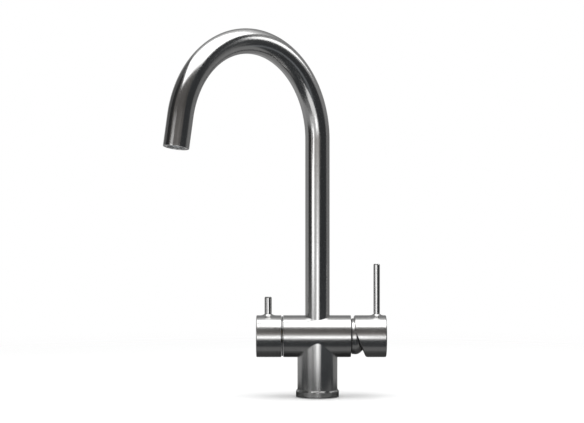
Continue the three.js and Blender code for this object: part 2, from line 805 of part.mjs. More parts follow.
// Two wedge-shaped openings, opposite each other.
function sectorDisc(from, to) {
  const outline = roundOutline(HEADWORK_DISC_R);
  for (const side of [0, Math.PI]) {
    const sector = new THREE.Path();
    sector.moveTo(1.4 * Math.cos(side), 1.4 * Math.sin(side));
    sector.absarc(0, 0, 5.6, side - 0.7, side + 0.7, false);
    sector.closePath();
    outline.holes.push(sector);
  }
  return closed(new THREE.ExtrudeGeometry(outline, {
    depth: to - from,
    bevelEnabled: false,
    curveSegments: 5,
  })).rotateY(-Math.PI / 2).translate(-from, 0, 0);
}

function headworkFixedDisc() {
  return sectorDisc(HEADWORK_SEAT_X + 2.6, HEADWORK_SEAT_X + 5.1);
}

function headworkMovingDisc() {
  return sectorDisc(HEADWORK_SEAT_X + 5.4, HEADWORK_SEAT_X + 7.9).rotateX(Math.PI / 2);
}

// Threaded barrel with its water windows, a hexagon to screw it in by, and the spindle's guide.
function headworkBody() {
  const start = HEADWORK_SEAT_X + 2.3;
  const hexFrom = 31.3;
  const hexTo = 36;
  const hexagon = new THREE.CylinderGeometry(11, 11, hexTo - hexFrom, 6)
    .rotateZ(Math.PI / 2)
    .translate(-(hexFrom + hexTo) / 2, 0, 0);
  return cut(
    join(
      turnedLeft(rod(start, hexFrom + 1, HEADWORK_R)),
      hexagon,
      turnedLeft(rod(hexTo - 1, HEADWORK_NECK_END, 7.6)),
    ),
    turnedLeft([
      [start - 1, 0],
      [start - 1, HEADWORK_DISC_R + GAP],
      [HEADWORK_SEAT_X + 10.9, HEADWORK_DISC_R + GAP],
      [HEADWORK_SEAT_X + 12.6, SPINDLE_R + 0.4],
      [HEADWORK_NECK_END + 1, SPINDLE_R + 0.4],
      [HEADWORK_NECK_END + 1, 0],
    ]),
    drill([-29, -12, 0], [-29, 12, 0], 1.2, 12),
    drill([-29, 0, -12], [-29, 0, 12], 1.2, 12),
  );
}

// The spline is a ring of fine teeth that carry the knob.
function headworkSpindle() {
  const teeth = 12;
  const spline = new THREE.Shape();
  spline.setFromPoints(Array.from({ length: 2 * teeth }, (_, i) => {
    const angle = (Math.PI * i) / teeth;
    const radius = i % 2 ? SPLINE_R - 0.5 : SPLINE_R;
    return new THREE.Vector2(radius * Math.cos(angle), radius * Math.sin(angle));
  }));
  const shaft = turnedLeft([
    [HEADWORK_SEAT_X + 8.2, 0],
    [HEADWORK_SEAT_X + 8.2, HEADWORK_DISC_R - 0.1],
    [HEADWORK_SEAT_X + 10.5, HEADWORK_DISC_R - 0.1],
    [HEADWORK_SEAT_X + 12.5, SPINDLE_R],
    [SPINDLE_SEAL_X - 1, SPINDLE_R],
    [SPINDLE_SEAL_X - 1, SPINDLE_R - 1.1],
    [SPINDLE_SEAL_X + 1, SPINDLE_R - 1.1],
    [SPINDLE_SEAL_X + 1, SPINDLE_R],
    [44.3, SPINDLE_R],
    [44.3, 3.6],
    [45.6, 3.6],
    [45.6, SPLINE_R - 0.5],
    [46.5, SPLINE_R - 0.5],
    [46.5, 0],
  ]);
  const toothed = plate(spline, 12.5).rotateY(-Math.PI / 2).translate(-46, 0, 0);
  const flat = new THREE.BoxGeometry(8, 10, 2).translate(-KNOB_GRUB_X, 0, -SPLINE_R - 0.2);
  return cut(join(shaft, toothed), flat);
}

function spindleSeal() {
  return turnedLeft(sealRing(SPINDLE_SEAL_X, SPINDLE_R - 0.35, 1.3), 20);
}

// An open spring ring in the spindle's groove.
function spindleClip() {
  const clip = new THREE.Shape();
  clip.absarc(0, 0, 6.4, 0.35, 2 * Math.PI - 0.35, false);
  clip.absarc(0, 0, 3.9, 2 * Math.PI - 0.55, 0.55, true);
  return closed(new THREE.ExtrudeGeometry(clip, {
    depth: 0.8,
    bevelEnabled: false,
    curveSegments: 10,
  })).rotateY(-Math.PI / 2).translate(-44.5, 0, 0);
}

// ---- Assembly -----------------------------------------------------------------------------

const tap = new THREE.Group();
tap.add(
  piece('tap_body', tapBody(), 'brushedSteel'),
  piece('base_ring', baseRing(), 'brushedSteel'),
  piece('base_gasket', baseGasket(), 'sealRubber'),
);

const screwBehind = piece('spout_retaining_screw', grubScrew(2.3, 8), 'polishedSteel');
screwBehind.position.set(0, 12.3, RETAINER_Z);
screwBehind.rotation.x = Math.PI / 2;
tap.add(screwBehind);

const onBarrel = new THREE.Group();
onBarrel.position.z = BARREL_Z;
tap.add(onBarrel);

onBarrel.add(
  piece('cartridge_base', cartridgeBase(), 'engineeringPlastic'),
  piece('cartridge_inlet_seal', cartridgeInletSeal(), 'sealRubber'),
  piece('cartridge_fixed_disc', cartridgeFixedDisc(), 'ceramic'),
  piece('cartridge_housing', cartridgeHousing(), 'engineeringPlastic'),
  piece('spindle_carrier', spindleCarrier(), 'engineeringPlastic'),
  piece('lever_pivot_pin', leverPivotPin(), 'polishedSteel'),
  piece('lever_stem', leverStem(), 'brass'),
  piece('cartridge_nut', cartridgeNut(), 'brass'),
  piece('dome_cover', domeCover(), 'brushedSteel'),
  piece('handle_cap', handleCap(), 'brushedSteel'),
);

for (const [name, geometry, finish] of [
  ['cartridge_moving_disc', cartridgeMovingDisc(), 'ceramic'],
  ['disc_coupler', discCoupler(), 'engineeringPlastic'],
]) {
  const sliding = piece(name, geometry, finish);
  sliding.position.z = DISC_REST_Z;
  onBarrel.add(sliding);
}

const handlePin = piece('handle_pin', leverPin(HANDLE_PIN_R, HANDLE_PIN_TOP), 'polishedSteel');
handlePin.position.x = HANDLE_PIN_X;
const handleScrew = piece('handle_grub_screw', grubScrew(HANDLE_GRUB_R, 9), 'polishedSteel');
handleScrew.position.set(HANDLE_GRUB_X, 0, -LEVER_SIDE / 2 - GAP);
onBarrel.add(handlePin, handleScrew);

onBarrel.add(
  piece('knob_spacer_ring', turnedLeft(
    ring(BARREL_HALF + GAP, KNOB_FACE_X - GAP, 17, SPACER_R),
    ROUND_SIDES,
  ), 'polishedSteel'),
  piece('headwork_seat_seal', headworkSeatSeal(), 'sealRubber'),
  piece('headwork_fixed_disc', headworkFixedDisc(), 'ceramic'),
  piece('headwork_moving_disc', headworkMovingDisc(), 'ceramic'),
  piece('headwork_body', headworkBody(), 'brass'),
  piece('headwork_spindle', headworkSpindle(), 'brass'),
  piece('spindle_seal', spindleSeal(), 'sealRubber'),
  piece('spindle_clip', spindleClip(), 'polishedSteel'),
  piece('filter_knob_cap', filterKnobCap(), 'brushedSteel'),
);

const knobPin = piece('filter_knob_pin', leverPin(KNOB_PIN_R, KNOB_PIN_TOP), 'polishedSteel');
knobPin.position.x = -KNOB_PIN_X;
const knobScrew = piece('filter_knob_grub_screw', grubScrew(KNOB_GRUB_R, 8), 'polishedSteel');
knobScrew.position.set(-KNOB_GRUB_X, 0, -SPLINE_R - GAP);
onBarrel.add(knobPin, knobScrew);

const spout = new THREE.Group();
spout.rotation.z = THREE.MathUtils.degToRad(SPOUT_SWIVEL_DEG);
tap.add(spout);

spout.add(
  piece('spout_tube', spoutTube(), 'brushedSteel'),
  piece('spout_swivel_foot', spoutSwivelFoot(), 'brass'),
  piece('spout_lower_seal', spoutSeal(LOWER_SEAL_Z), 'sealRubber'),
  piece('spout_upper_seal', spoutSeal(UPPER_SEAL_Z), 'sealRubber'),
  piece('filtered_water_tube', filteredWaterTube(), 'siliconeTube'),
);

tap.add(piece('filtered_tube_seal', turnedZ(
  sealRing(SOCKET_FLOOR_Z - TUBE_SEAT_DEPTH / 2, INNER_TUBE_R + 1.25, SEAL_THICKNESS),
  16,
), 'sealRubber'));

const outlet = new THREE.Group();
const mouth = new SpoutLine(SPOUT_FOOT_Z, SPOUT_ARC_STEPS, SPOUT_TAIL_LENGTH).getPoint(1);
outlet.position.copy(mouth);
outlet.rotation.y = -THREE.MathUtils.degToRad(SPOUT_TAIL_DEG);
spout.add(outlet);
outlet.add(
  piece('aerator_housing', aeratorHousing(), 'polishedSteel'),
  piece('aerator_screen', aeratorScreen(), 'aeratorPlastic'),
  piece('aerator_washer', turnedZ(ring(11.3, 13.3, 9, 12.1)), 'sealRubber'),
  piece('filter_nozzle', filterNozzle(), 'aeratorPlastic'),
);

export default tap;
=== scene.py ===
import math

import bmesh
import bpy
import numpy as np
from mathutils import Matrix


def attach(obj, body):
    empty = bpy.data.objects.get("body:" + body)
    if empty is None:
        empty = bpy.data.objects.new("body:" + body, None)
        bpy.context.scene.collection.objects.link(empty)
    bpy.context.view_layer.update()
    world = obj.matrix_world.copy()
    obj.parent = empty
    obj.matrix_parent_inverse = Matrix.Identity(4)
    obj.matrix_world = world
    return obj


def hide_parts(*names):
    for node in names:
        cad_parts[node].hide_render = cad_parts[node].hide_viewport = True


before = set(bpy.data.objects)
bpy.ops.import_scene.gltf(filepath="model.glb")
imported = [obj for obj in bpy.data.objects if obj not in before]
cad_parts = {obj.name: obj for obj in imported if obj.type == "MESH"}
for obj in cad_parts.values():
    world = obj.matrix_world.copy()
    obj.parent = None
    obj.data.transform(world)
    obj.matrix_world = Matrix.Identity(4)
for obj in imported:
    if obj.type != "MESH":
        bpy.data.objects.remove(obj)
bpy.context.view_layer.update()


# ---------------------------------------------------------------- the photograph's view
# A long lens, level, a little left of the tap's column and at half its height. One pixel of the
# 584 x 423 picture is 1.15 mm at the column.
pixel = 0.00115
picture_width, picture_height = 584, 423
picture_centre = (picture_width / 2, picture_height / 2)
column_foot = (317.43, 397.05)
focal_pixels = 1640
film_width = 36

camera_data = bpy.data.cameras.new("camera")
camera_data.sensor_width = film_width
camera_data.lens = film_width * focal_pixels / picture_width
camera = bpy.data.objects.new("camera", camera_data)
camera.location = (
    (picture_centre[0] - column_foot[0]) * pixel,
    -focal_pixels * pixel,
    (column_foot[1] - picture_centre[1]) * pixel,
)
camera.rotation_euler = (math.pi / 2, 0, 0)
bpy.context.scene.collection.objects.link(camera)
bpy.context.scene.camera = camera


# ---------------------------------------------------------------- base ring
# A turned stainless ring slipped over the foot of the column. Its upper edge is bevelled, and it
# stands on the worktop.
def outline(*corners, closed=False):
    """A turned outline as an array of (along, radius), in millimetres, from corners given as
    (along, radius, rounding). A corner with a rounding becomes an arc that touches both of its
    sides. The arc's centre is on the line that halves the corner, at the rounding divided by the
    sine of half the corner's angle. One more point stands just outside each end of the arc, so
    the flats stay flat."""
    count = len(corners)
    path = []
    for i, (along, radius, rounding) in enumerate(corners):
        here = np.array([along, radius], float)
        if not rounding or (not closed and i in (0, count - 1)):
            path.append(here[None])
            continue
        back = np.array(corners[i - 1][:2], float) - here
        ahead = np.array(corners[(i + 1) % count][:2], float) - here
        back /= np.linalg.norm(back)
        ahead /= np.linalg.norm(ahead)
        half = math.acos(np.clip(back @ ahead, -1, 1)) / 2
        reach = rounding / math.tan(half)
        middle = here + (back + ahead) / np.linalg.norm(back + ahead) * rounding / math.sin(half)
        first, last = here + back * reach - middle, here + ahead * reach - middle
        sweep = math.pi - 2 * half
        t = np.linspace(0, 1, 7)[:, None]
        arc = middle + (np.sin((1 - t) * sweep) * first + np.sin(t * sweep) * last) / math.sin(sweep)
        hold = min(0.05, rounding / 4)
        path += [here[None] + back * (reach + hold), arc, here[None] + ahead * (reach + hold)]
    return np.concatenate(path)


def turned(profile, sides=160):
    """Rows of a turned piece round Z: each (along, radius) of the profile is carried round a circle
    of that radius at that height."""
    turn = np.linspace(0, 2 * math.pi, sides, endpoint=False)
    along, radius = profile[:, :1], profile[:, 1:]
    return np.stack([radius * np.cos(turn), radius * np.sin(turn), along + 0 * turn], -1)


sharp_edge = math.radians(38)
weld = 1e-6


def skin(name, rows, ring=False, brushed=None):
    """Joins a grid of points, in millimetres, into one closed mesh. rows[i, j] is point j of row i.
    Every row closes on itself. With ring the last row joins the first; otherwise the first and
    last rows are single points. The UV map is (turns round, metres across the brush lines), where
    the second is the length along the outline, or brushed[i, j] if that is given."""
    count, sides = rows.shape[:2]
    spans = count if ring else count - 1
    i, j = np.meshgrid(np.arange(spans), np.arange(sides), indexing="ij")
    below, above = i * sides, (i + 1) % count * sides
    ahead = (j + 1) % sides
    faces = np.stack([below + j, below + ahead, above + ahead, above + j], -1).reshape(-1, 4)
    if brushed is None:
        steps = np.linalg.norm(np.roll(rows, -1, 0) - rows, axis=2).mean(1)
        brushed = (np.cumsum(steps) - steps)[:, None] + np.zeros(sides)
    after = (i + 1) % count
    round_uv = np.stack([j, j + 1, j + 1, j], -1) / sides
    along_uv = np.stack([brushed[i, j], brushed[i, ahead], brushed[after, ahead], brushed[after, j]],
                        -1) / 1000

    mesh = bpy.data.meshes.new(name)
    mesh.from_pydata((rows.reshape(-1, 3) / 1000).tolist(), [], faces.tolist())
    uv = mesh.uv_layers.new(name="around_along")
    uv.data.foreach_set("uv", np.stack([round_uv, along_uv], -1).ravel())
    shape = bmesh.new()
    shape.from_mesh(mesh)
    bmesh.ops.remove_doubles(shape, verts=shape.verts, dist=weld)
    bmesh.ops.recalc_face_normals(shape, faces=shape.faces)
    shape.to_mesh(mesh)
    shape.free()
    mesh.polygons.foreach_set("use_smooth", np.ones(len(mesh.polygons), bool))
    mesh.set_sharp_from_angle(angle=sharp_edge)
    piece = bpy.data.objects.new(name, mesh)
    bpy.context.scene.collection.objects.link(piece)
    return piece


def steel_tones(tone):
    """The dark and light colour of a steel's brush lines, from its middle tone: 5 % under it and a
    little yellow, and 4 % over it."""
    return [tone * 0.95 * c for c in (1, 0.995, 0.985)], [tone * 1.04 * c for c in (1, 1, 0.998)]


def satin_metal(name, tones, roughness, grain):
    """Metal with brush lines round the piece. Noise drawn along the outline, and hardly drifting
    round the piece, gives the lines. It mixes the two tones, moves the roughness and gives the
    bump. Slow noise over the piece adds cloudy wear and finger marks to the roughness."""
    lines_per_metre, drift_per_metre, clouds_per_metre = 2600, 45, 26
    line_depth = 0.00004
    metal = bpy.data.materials.new(name)
    metal.use_nodes = True
    nodes, links = metal.node_tree.nodes, metal.node_tree.links
    surface = nodes["Principled BSDF"]
    surface.inputs["Metallic"].default_value = 1
    surface.inputs["Anisotropic"].default_value = 0.45
    surface.inputs["Anisotropic Rotation"].default_value = 0.25

    place = nodes.new("ShaderNodeTexCoord")
    split = nodes.new("ShaderNodeSeparateXYZ")
    links.new(place.outputs["UV"], split.inputs[0])
    lines = nodes.new("ShaderNodeVectorMath")
    lines.operation = "MULTIPLY_ADD"
    line_place = nodes.new("ShaderNodeCombineXYZ")
    links.new(split.outputs["Y"], line_place.inputs["X"])
    links.new(line_place.outputs[0], lines.inputs[0])
    lines.inputs[1].default_value = (lines_per_metre, 0, 0)
    drift = nodes.new("ShaderNodeVectorMath")
    drift.operation = "SCALE"
    drift.inputs["Scale"].default_value = drift_per_metre
    links.new(place.outputs["Object"], drift.inputs[0])
    links.new(drift.outputs[0], lines.inputs[2])
    brush = nodes.new("ShaderNodeTexNoise")
    brush.inputs["Scale"].default_value = 1
    brush.inputs["Detail"].default_value = 3
    brush.inputs["Roughness"].default_value = 0.65
    links.new(lines.outputs[0], brush.inputs["Vector"])

    clouds = nodes.new("ShaderNodeTexNoise")
    clouds.inputs["Scale"].default_value = clouds_per_metre
    clouds.inputs["Detail"].default_value = 4
    links.new(place.outputs["Object"], clouds.inputs["Vector"])
    marks = nodes.new("ShaderNodeMapRange")
    marks.inputs["From Min"].default_value = 0.3
    marks.inputs["From Max"].default_value = 0.75
    marks.inputs["To Min"].default_value = -0.015
    marks.inputs["To Max"].default_value = 0.03
    links.new(clouds.outputs["Fac"], marks.inputs["Value"])
    rough = nodes.new("ShaderNodeMapRange")
    rough.inputs["To Min"].default_value = roughness - 0.02
    rough.inputs["To Max"].default_value = roughness + 0.02
    links.new(brush.outputs["Fac"], rough.inputs["Value"])
    rough_sum = nodes.new("ShaderNodeMath")
    links.new(rough.outputs[0], rough_sum.inputs[0])
    links.new(marks.outputs[0], rough_sum.inputs[1])
    links.new(rough_sum.outputs[0], surface.inputs["Roughness"])

    colour = nodes.new("ShaderNodeValToRGB")
    for stop, position, tone in zip(colour.color_ramp.elements, (0.25, 0.75), tones):
        stop.position = position
        stop.color = (*tone, 1)
    links.new(brush.outputs["Fac"], colour.inputs["Fac"])
    links.new(colour.outputs["Color"], surface.inputs["Base Color"])

    bump = nodes.new("ShaderNodeBump")
    bump.inputs["Strength"].default_value = grain
    bump.inputs["Distance"].default_value = line_depth
    links.new(brush.outputs["Fac"], bump.inputs["Height"])
    links.new(bump.outputs[0], surface.inputs["Normal"])
    return metal


def finished(piece, material, slot, body, *nodes):
    """Gives a new piece its material, its body and the CAD nodes that it stands for."""
    piece.data.materials.append(material)
    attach(piece, body)
    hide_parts(*nodes)


ring_profile = outline(
    (0, 23.3, 0), (0, 24.7, 0.45), (7.2, 24.7, 0.3), (9, 23.7, 0.25), (9, 23.1, 0), closed=True,
)
brushed_steel = satin_metal("brushed_steel", steel_tones(0.6), 0.2, 0.08)
base_ring = skin("base_ring_turned", turned(ring_profile), ring=True)
finished(base_ring, brushed_steel, "brushed_steel", "base", "base_ring")


# ---------------------------------------------------------------- tap body
# One stainless casting, turned and brushed: a short column, and across it the barrel that holds
# the two valves. They meet in a sharp saddle line, and a rubber ring seals the column's foot.
barrel_z = 70
barrel_r = 24
column_r = 23


def round_barrel(along, radius, turn):
    """Points round the barrel's axis: along is X, and turn starts at the back and rises."""
    along, radius, turn = np.broadcast_arrays(along, radius, turn)
    return np.stack([along, radius * np.cos(turn), barrel_z + radius * np.sin(turn)], -1)


def drilled(piece, *cutters):
    """Takes the cutters away from a piece with Boolean modifiers, and applies them."""
    for cutter in cutters:
        hole = piece.modifiers.new("hole", "BOOLEAN")
        hole.object = cutter
        hole.solver = "EXACT"
    bpy.context.view_layer.update()
    shape = piece.evaluated_get(bpy.context.evaluated_depsgraph_get())
    mesh = bpy.data.meshes.new_from_object(shape)
    mesh.set_sharp_from_angle(angle=sharp_edge)
    piece.modifiers.clear()
    piece.data = mesh
    for cutter in cutters:
        bpy.data.objects.remove(cutter)


def rod(bottom, top, radius, sides=48):
    """Rows of a turned cutter: a plain rod round Z, closed at both ends."""
    return turned(outline((bottom, 0, 0), (bottom, radius, 0), (top, radius, 0), (top, 0, 0)), sides)


def bored(depth, radius, at):
    """A cutter for an upright hole in the underside. It starts 1 mm below it."""
    return skin("cutter", rod(-1, depth, radius) + np.array([*at, 0]))


# The column's top edge follows the barrel's surface, a little inside it. Above a point of the
# column's wall, that surface is below the barrel's axis by the square root of the barrel's radius
# squared less the point's y squared.
column_rows = turned(outline(
    (0, 0, 0), (0, 22, 0), (0, column_r, 0.3), (45, column_r, 0), (50, column_r, 0), (50, 0, 0),
), 240)
into_barrel = 0.8
top_edge = column_rows[-2]
top_edge[:, 2] = barrel_z + into_barrel - np.sqrt(barrel_r ** 2 - top_edge[:, 1] ** 2)
headwork_socket = outline(
    (-20, 0, 0), (-20, 9.6, 0), (-31, 9.6, 0), (-31, 17, 0), (-39.3, 17, 0.2),
    (-39.3, barrel_r, 0.5), (-38, barrel_r, 0),
)
cartridge_socket = outline(
    (37.2, barrel_r, 0), (38.3, barrel_r, 0.6), (38.3, 20, 0.1), (31.6, 20, 0), (31.6, 17.6, 0),
    (18, 17.6, 0), (18, 0, 0),
)
wall_x = np.linspace(-36, 36, 49)
barrel_wall = np.stack([wall_x, np.full_like(wall_x, barrel_r)], -1)
barrel_profile = np.concatenate([headwork_socket, barrel_wall, cartridge_socket])
full_turn = np.linspace(0, 2 * math.pi, 240, endpoint=False)
barrel_rows = round_barrel(barrel_profile[:, :1], barrel_profile[:, 1:], full_turn)
column = skin("tap_column", column_rows, brushed=column_rows[..., 2])
barrel = skin("tap_barrel", barrel_rows)

# Three hose ports and the stud's hole stand at the corners of a square round the column's axis,
# inside the groove for the sealing ring. The distance of each from the two middle planes is its
# distance from the axis times the square root of a half.
port_out = 11.5 * math.sqrt(0.5)
port_depth, port_r = 17, 5
stud_depth, stud_r = 22, 3.4
gasket_groove = outline((-1, 18.5, 0), (-1, 21.5, 0), (2.5, 21.5, 0), (2.5, 18.5, 0), closed=True)
drilled(
    column,
    skin("cutter", turned(gasket_groove), ring=True),
    bored(port_depth, port_r, (port_out, port_out)),
    bored(port_depth, port_r, (-port_out, -port_out)),
    bored(port_depth, port_r, (port_out, -port_out)),
    bored(stud_depth, stud_r, (-port_out, port_out)),
)

# The spout's socket is bored from above, and the hole of its retaining screw from behind.
socket_floor, socket_r = 63.5, 14.3
screw_z, screw_r = 77.5, 2.6
socket_rows = rod(socket_floor, 98, socket_r, 120)
screw_rows = rod(10, 28, screw_r)
screw_rows = np.stack([screw_rows[..., 0], screw_rows[..., 2], screw_z - screw_rows[..., 1]], -1)
drilled(barrel, skin("cutter", socket_rows), skin("cutter", screw_rows))
finished(column, brushed_steel, "brushed_steel", "base", "tap_body")
finished(barrel, brushed_steel, "brushed_steel", "base", "tap_body")


def moulded(name, colour, roughness, speckle):
    """Moulded rubber, plastic or ceramic. Fine noise over the piece shades the colour from 12 %
    under it to 5 % over it, moves the roughness, and gives the bump of a moulded skin."""
    speckles_per_metre = 600
    speckle_depth = 0.00005
    material = bpy.data.materials.new(name)
    material.use_nodes = True
    nodes, links = material.node_tree.nodes, material.node_tree.links
    surface = nodes["Principled BSDF"]
    place = nodes.new("ShaderNodeTexCoord")
    skin_noise = nodes.new("ShaderNodeTexNoise")
    skin_noise.inputs["Scale"].default_value = speckles_per_metre
    skin_noise.inputs["Detail"].default_value = 3
    links.new(place.outputs["Object"], skin_noise.inputs["Vector"])
    shade = nodes.new("ShaderNodeValToRGB")
    for stop, position, change in zip(shade.color_ramp.elements, (0.3, 0.7), (0.88, 1.05)):
        stop.position = position
        stop.color = (*[c * change for c in colour], 1)
    links.new(skin_noise.outputs["Fac"], shade.inputs["Fac"])
    links.new(shade.outputs["Color"], surface.inputs["Base Color"])
    rough = nodes.new("ShaderNodeMapRange")
    rough.inputs["To Min"].default_value = roughness - 0.06
    rough.inputs["To Max"].default_value = roughness + 0.06
    links.new(skin_noise.outputs["Fac"], rough.inputs["Value"])
    links.new(rough.outputs[0], surface.inputs["Roughness"])
    bump = nodes.new("ShaderNodeBump")
    bump.inputs["Strength"].default_value = speckle
    bump.inputs["Distance"].default_value = speckle_depth
    links.new(skin_noise.outputs["Fac"], bump.inputs["Height"])
    links.new(bump.outputs[0], surface.inputs["Normal"])
    return material


def refinish(material, *nodes):
    """Puts a better material on CAD nodes whose shape is right."""
    for node in nodes:
        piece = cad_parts[node]
        piece.data.materials.clear()
        piece.data.materials.append(material)


seal_rubber = moulded("seal_rubber", (0.025, 0.025, 0.026), 0.6, 0.5)
refinish(seal_rubber, "base_gasket")


# ---------------------------------------------------------------- spout
# A 28 mm stainless tube with a 1.5 mm wall, bent cold round one former into a swan neck, brushed
# round its length, and swung half way between left and front. It turns on a brass foot between
# two seals, and a silicone tube inside it carries the filtered water.
spout_r = 14
spout_wall = 1.5
leg_from, arc_z, arc_r = 86.3, 296.17, 105.2
tail_lean = math.radians(10.2)
tail_length = 34.5
swing = math.radians(-135)


def spout_line(station):
    """The centre line, as (out, up) and its direction, at a station from 0 to 3: one unit of leg,
    one of arc, one of tail. The arc turns by half a circle less the tail's lean."""
    bend = np.clip(station - 1, 0, 1) * (math.pi - tail_lean)
    heading = np.stack([np.sin(bend), np.cos(bend)], -1)
    out = arc_r * (1 - np.cos(bend))
    up = arc_z + arc_r * np.sin(bend) - (arc_z - leg_from) * np.clip(1 - station, 0, 1)
    centre = np.stack([out, up], -1) + heading * tail_length * np.clip(station - 2, 0, 1)[:, None]
    return centre, heading


def swung(out, side, up):
    """Turns a point of the spout's own upright plane to where the spout is swung."""
    return np.stack([
        out * math.cos(swing) - side * math.sin(swing),
        out * math.sin(swing) + side * math.cos(swing),
        up,
    ], -1)


def along_spout(station, radius, sides=144):
    """Rows of a tube along the spout: a circle of the given radius, square to the centre line at
    each station."""
    centre, heading = spout_line(station)
    turn = np.linspace(0, 2 * math.pi, sides, endpoint=False)
    inwards = radius[:, None] * np.cos(turn)
    side = radius[:, None] * np.sin(turn)
    out = centre[:, :1] - heading[:, 1:] * inwards
    up = centre[:, 1:] + heading[:, :1] * inwards
    return swung(out, side, up)


# The outside runs from the leg's foot to the rim, whose edge is a quarter circle. The inside is
# its mirror image, one wall further in.
leg_and_arc = np.concatenate([np.linspace(0, 1, 12), 1 + np.linspace(0, 1, 171)[1:]])
tail = 2 + np.array([0.1, 0.3, 0.6, 0.9, 0.97])
outside = np.concatenate([leg_and_arc, tail])
rim_turn = np.linspace(0, math.pi / 2, 6)
rim_size = 0.45
rim_out = 3 - rim_size / tail_length * (1 - np.sin(rim_turn))
rim_r = spout_r - rim_size * (1 - np.cos(rim_turn))
stations = np.concatenate([outside, rim_out, rim_out[::-1], outside[::-1]])
radii = np.concatenate([
    np.full(len(outside), spout_r), rim_r,
    (2 * spout_r - spout_wall - rim_r)[::-1], np.full(len(outside), spout_r - spout_wall),
])
spout_steel = satin_metal("spout_steel", steel_tones(0.6), 0.17, 0.03)
spout = skin("swan_neck_tube", along_spout(stations, radii), ring=True)
finished(spout, spout_steel, "brushed_steel", "spout", "spout_tube")

brass = satin_metal("brass", ((0.52, 0.37, 0.16), (0.68, 0.51, 0.25)), 0.34, 0.3)
silicone = moulded("silicone", (0.72, 0.74, 0.75), 0.35, 0.1)
polished_steel = satin_metal("polished_steel", steel_tones(0.64), 0.14, 0.02)
refinish(brass, "spout_swivel_foot")
refinish(silicone, "filtered_water_tube")
refinish(polished_steel, "spout_retaining_screw")
refinish(seal_rubber, "spout_lower_seal", "spout_upper_seal", "filtered_tube_seal")


# ---------------------------------------------------------------- outlet
# A polished threaded ring in the spout's mouth holds a grey plastic flow straightener on a rubber
# washer. The filtered water has its own nozzle in the middle.
def in_mouth(profile, sides=96):
    """Rows of a turned piece in the outlet. Along is measured from the end face up the tail."""
    centre, heading = spout_line(np.array([3.0]))
    (out0, up0), (dir_out, dir_up) = centre[0], heading[0]
    turn = np.linspace(0, 2 * math.pi, sides, endpoint=False)
    along, radius = profile[:, :1], profile[:, 1:]
    across = radius * np.cos(turn)
    return swung(
        out0 - along * dir_out - across * dir_up,
        radius * np.sin(turn) + 0 * along,
        up0 - along * dir_up + across * dir_out,
    )


housing_profile = outline(
    (0.4, 9.6, 0.25), (0.4, 12.1, 0.4), (11, 12.1, 0), (11, 10.6, 0), (1.7, 10.6, 0), (1.7, 9.6, 0.2),
    closed=True,
)
housing = skin("aerator_ring", in_mouth(housing_profile), ring=True)
finished(housing, polished_steel, "polished_steel", "spout", "aerator_housing")

aerator_plastic = moulded("aerator_plastic", (0.3, 0.31, 0.32), 0.42, 0.3)
refinish(aerator_plastic, "aerator_screen", "filter_nozzle")
refinish(seal_rubber, "aerator_washer")


# ---------------------------------------------------------------- filter knob
# The left cap is a turned cup on the brass headwork's spline, with a short pin screwed into a soft
# collar on top and a grub screw underneath. A spacer ring fills the gap to the barrel, and two
# ceramic discs in the headwork shut the water.
def cap_turns(sides, drawn_together=0.36):
    """Angles round a cap: even steps, each moved by a share of the sine of its double. That draws
    them together at the top and bottom, where the pin and the screw are."""
    turn = np.linspace(0, 2 * math.pi, sides, endpoint=False)
    return turn + drawn_together * np.sin(2 * turn)


def cap_rows_along(start, end, dense_from, dense_to):
    """Places along a cap's wall, close together where the collar and the screw hole are."""
    return np.unique(np.concatenate([
        np.linspace(start, dense_from, 12),
        np.linspace(dense_from, dense_to, 64),
        np.linspace(dense_to, end, 8),
    ]))


collar_h = 1.7
collar_top = 0.5
collar_spread = 5


def with_collar_and_hole(rows, pin_x, pin_r, hole_x, hole_r, hole_floor):
    """Raises a soft collar round the pin and sinks the screw's hole. The climb goes from 0 at the
    collar's foot to 1 at its flat top, and the height is the collar's height times one less the
    square root of one less the climb squared: a quarter ellipse. Inside the hole's radius the
    wall drops to a flat floor. Only points within 0.3 mm of the barrel's radius move."""
    x, y, z = rows[..., 0], rows[..., 1], rows[..., 2] - barrel_z
    outer = np.hypot(y, z) > barrel_r - 0.3
    from_pin = np.hypot(x - pin_x, y)
    foot = pin_r + collar_top + collar_spread
    climb = np.clip((foot - from_pin) / collar_spread, 0, 1)
    raised = z + collar_h * (1 - np.sqrt(1 - climb ** 2))
    z = np.where(outer & (z > 0), raised, z)
    from_hole = np.hypot(x - hole_x, y)
    sunk = outer & (z < 0) & (from_hole < hole_r)
    return np.stack([x, y, np.where(sunk, -hole_floor, z) + barrel_z], -1)


def pin(name, x, radius, top):
    """A lever pin: a rod with a steep chamfer on top and a narrow neck at its foot, which stands
    in the cap."""
    neck_h, neck_in, chamfer_h, chamfer_in = 0.7, 0.25, 1.1, 0.5
    foot = barrel_r + collar_h + neck_h
    neck, end = radius - neck_in, foot - 5
    rows = turned(outline(
        (end, 0, 0), (end, neck, 0), (foot, neck, 0), (foot, radius, 0.2),
        (top - chamfer_h, radius, 0.15), (top, radius - chamfer_in, 0.15), (top, 0, 0),
    ), 64)
    return skin(name, rows + np.array([x, 0, barrel_z]))


spacer = outline(
    (-41.3, 17, 0), (-41.3, 22.9, 0.5), (-39.6, 22.9, 0.5), (-39.6, 17, 0), closed=True,
)
spacer_ring = skin("knob_spacer", round_barrel(spacer[:, :1], spacer[:, 1:], full_turn), ring=True)
# The spacer ring's steel is much darker than the barrel's: painted shade for the shadowed groove between
# the barrel and the knob.
painted_shade_steel = satin_metal("painted_shade_steel", steel_tones(0.34), 0.18, 0.02)
finished(spacer_ring, painted_shade_steel, "polished_steel", "base", "knob_spacer_ring")

